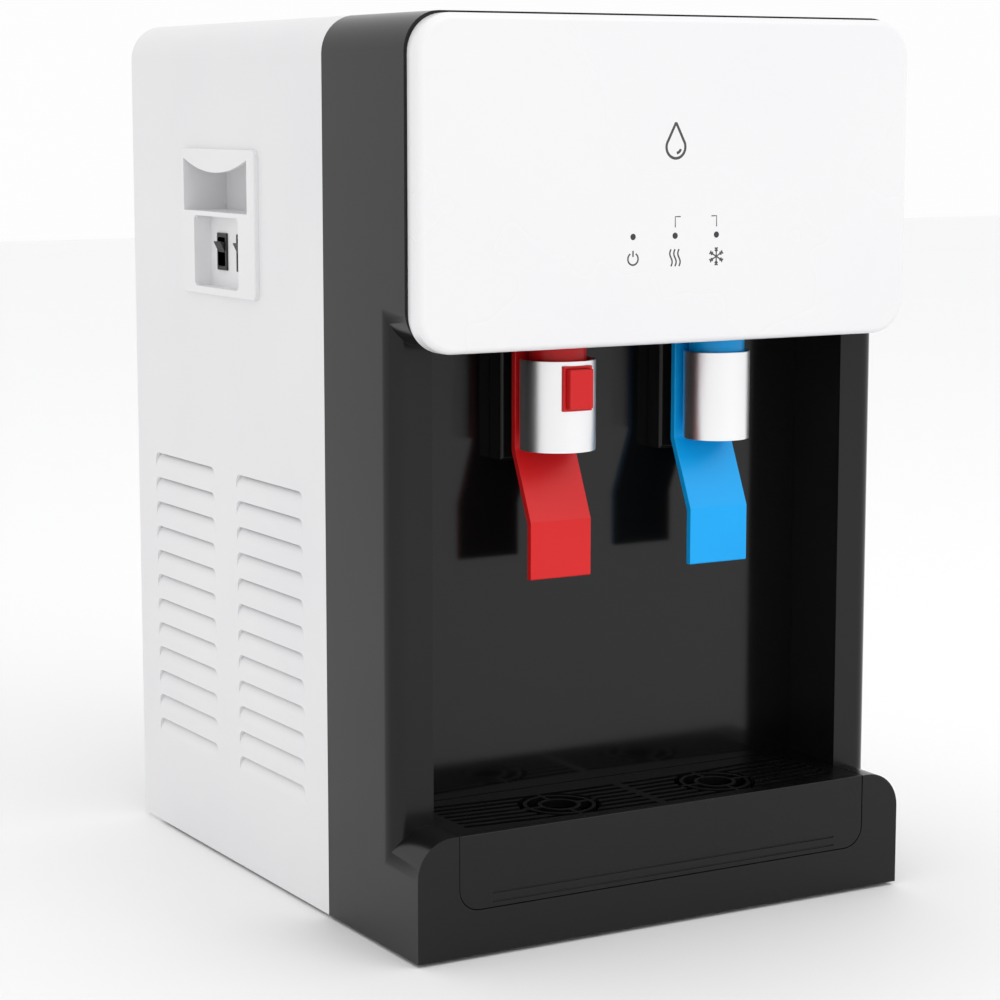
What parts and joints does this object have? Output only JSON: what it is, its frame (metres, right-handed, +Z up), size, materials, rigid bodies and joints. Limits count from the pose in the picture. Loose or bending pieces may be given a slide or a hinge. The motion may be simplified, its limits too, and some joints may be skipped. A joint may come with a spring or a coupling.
{
  "type": "countertop water dispenser",
  "caption": "Boxy countertop water dispenser: white cabinet, black open bay with a hot and a cold lever tap, slide-out drip tray, side hand grips and rocker switches.",
  "frame": {"origin": "on the floor under the middle of the cabinet's bounding box", "axes": "+Z up, the front faces -Y, +X to the right of a person facing the front"},
  "size_m": [0.311, 0.356, 0.481],
  "materials": {
    "white_steel": "satin",
    "galvanised_steel": "galvanised",
    "zinc_screw": "zinc plated",
    "rubber": "matte",
    "black_plastic": "satin moulded",
    "black_gloss": "mirror gloss",
    "white_plastic": "gloss",
    "clear_lens": "clear",
    "circuit_board": "solder mask",
    "satin_steel": "satin",
    "red_plastic": "satin",
    "blue_plastic": "satin",
    "grey_plastic": "moulded",
    "spring_steel": "drawn wire",
    "tank_steel": "stainless",
    "heater_metal": "heat tinted",
    "foam": "expanded foam",
    "copper": "copper",
    "black_enamel": "enamel",
    "filter_plastic": "moulded",
    "tubing": "food-grade tube",
    "cap_rubber": "moulded"
  },
  "bodies": {
    "cabinet": {"cabinet_wrap": "white_steel", "rear_panel": "galvanised_steel", "rear_panel_screws": "zinc_screw", "base_pan": "galvanised_steel", "rubber_feet": "rubber", "front_shell": "black_plastic", "bay_back_panel": "black_gloss", "fascia_panel": "white_plastic", "indicator_lenses": "clear_lens", "control_board": "circuit_board", "grip_bezel_left": "white_plastic", "grip_bezel_right": "white_plastic", "switch_housings": "black_plastic", "hot_tap_sleeve": "satin_steel", "cold_tap_sleeve": "satin_steel", "hot_tap_body": "red_plastic", "cold_tap_body": "blue_plastic", "tap_nozzles": "grey_plastic", "tap_brackets": "black_plastic", "hot_tap_valve": "white_plastic", "cold_tap_valve": "white_plastic", "lever_pins": "satin_steel", "lever_springs": "spring_steel", "lock_frame": "red_plastic", "lock_spring": "spring_steel", "tank_shelf": "galvanised_steel", "hot_tank": "tank_steel", "band_heater": "heater_metal", "hot_tank_jacket": "foam", "tank_thermostats": "tank_steel", "cold_tank": "tank_steel", "cold_tank_lid": "white_plastic", "cold_tank_jacket": "foam", "evaporator_coil": "copper", "compressor": "black_enamel", "compressor_grommets": "rubber", "filter_drier": "copper", "sediment_cartridge": "filter_plastic", "carbon_cartridge": "filter_plastic", "filter_head": "grey_plastic", "self_clean_module": "white_plastic", "condenser_tube": "black_enamel", "condenser_wires": "black_enamel", "condenser_clips": "grey_plastic", "water_inlet": "white_plastic", "inlet_valve": "grey_plastic", "drain_spigots": "grey_plastic", "cord_gland": "grey_plastic", "water_tubes": "tubing"},
    "hot_lever": {"hot_lever": "red_plastic"},
    "cold_lever": {"cold_lever": "blue_plastic"},
    "hot_valve_plunger": {"hot_valve_plunger": "white_plastic"},
    "cold_valve_plunger": {"cold_valve_plunger": "white_plastic"},
    "lock_button": {"lock_button": "red_plastic"},
    "hot_switch_rocker": {"hot_switch_rocker": "black_plastic"},
    "cold_switch_rocker": {"cold_switch_rocker": "black_plastic"},
    "drip_tray": {"drip_tray": "black_plastic"},
    "drip_grille": {"drip_grille": "black_plastic"},
    "hot_drain_cap": {"hot_drain_cap": "cap_rubber"},
    "cold_drain_cap": {"cold_drain_cap": "cap_rubber"}
  },
  "joints": [
    {"name": "hot_lever_press", "type": "hinge", "parent": "cabinet", "child": "hot_lever", "pos_m": [-0.0501, -0.1295, 0.324], "axis": [1, 0, 0], "range_deg": [0, 5], "stiffness_Nm_per_rad": 3, "springref_deg": -2.86, "deforming": ["lever_springs"]},
    {"name": "hot_plunger_slide", "type": "slide", "parent": "cabinet", "child": "hot_valve_plunger", "axis": [0, -1, 0], "range_m": [0, 0.00125]},
    {"name": "cold_lever_press", "type": "hinge", "parent": "cabinet", "child": "cold_lever", "pos_m": [0.0501, -0.1295, 0.324], "axis": [1, 0, 0], "range_deg": [0, 5], "stiffness_Nm_per_rad": 3, "springref_deg": -2.86, "deforming": ["lever_springs"]},
    {"name": "cold_plunger_slide", "type": "slide", "parent": "cabinet", "child": "cold_valve_plunger", "axis": [0, -1, 0], "range_m": [0, 0.00125]},
    {"name": "lock_press", "type": "slide", "parent": "cabinet", "child": "lock_button", "axis": [0, 1, 0], "range_m": [0, 0.0025], "stiffness_N_per_m": 400, "springref_m": -0.001, "deforming": ["lock_spring"]},
    {"name": "hot_switch_rock", "type": "hinge", "parent": "cabinet", "child": "hot_switch_rocker", "pos_m": [-0.142, 0.0398, 0.3525], "axis": [0, 1, 0], "range_deg": [0, 24]},
    {"name": "cold_switch_rock", "type": "hinge", "parent": "cabinet", "child": "cold_switch_rocker", "pos_m": [-0.142, 0.0658, 0.3525], "axis": [0, 1, 0], "range_deg": [0, 24]},
    {"name": "drip_tray_slide", "type": "slide", "parent": "cabinet", "child": "drip_tray", "axis": [0, -1, 0], "range_m": [0, 0.075]},
    {"name": "drip_grille_lift", "type": "slide", "parent": "drip_tray", "child": "drip_grille", "axis": [0, 0, 1], "range_m": [0, 0.03]},
    {"name": "hot_drain_cap_pull", "type": "slide", "parent": "cabinet", "child": "hot_drain_cap", "axis": [0, 1, 0], "range_m": [0, 0.013]},
    {"name": "cold_drain_cap_pull", "type": "slide", "parent": "cabinet", "child": "cold_drain_cap", "axis": [0, 1, 0], "range_m": [0, 0.013]}
  ],
  "couplings": [
    {"joint": "hot_plunger_slide", "follows": "hot_lever_press", "m_per_rad": 0.014},
    {"joint": "cold_plunger_slide", "follows": "cold_lever_press", "m_per_rad": 0.014}
  ]
}
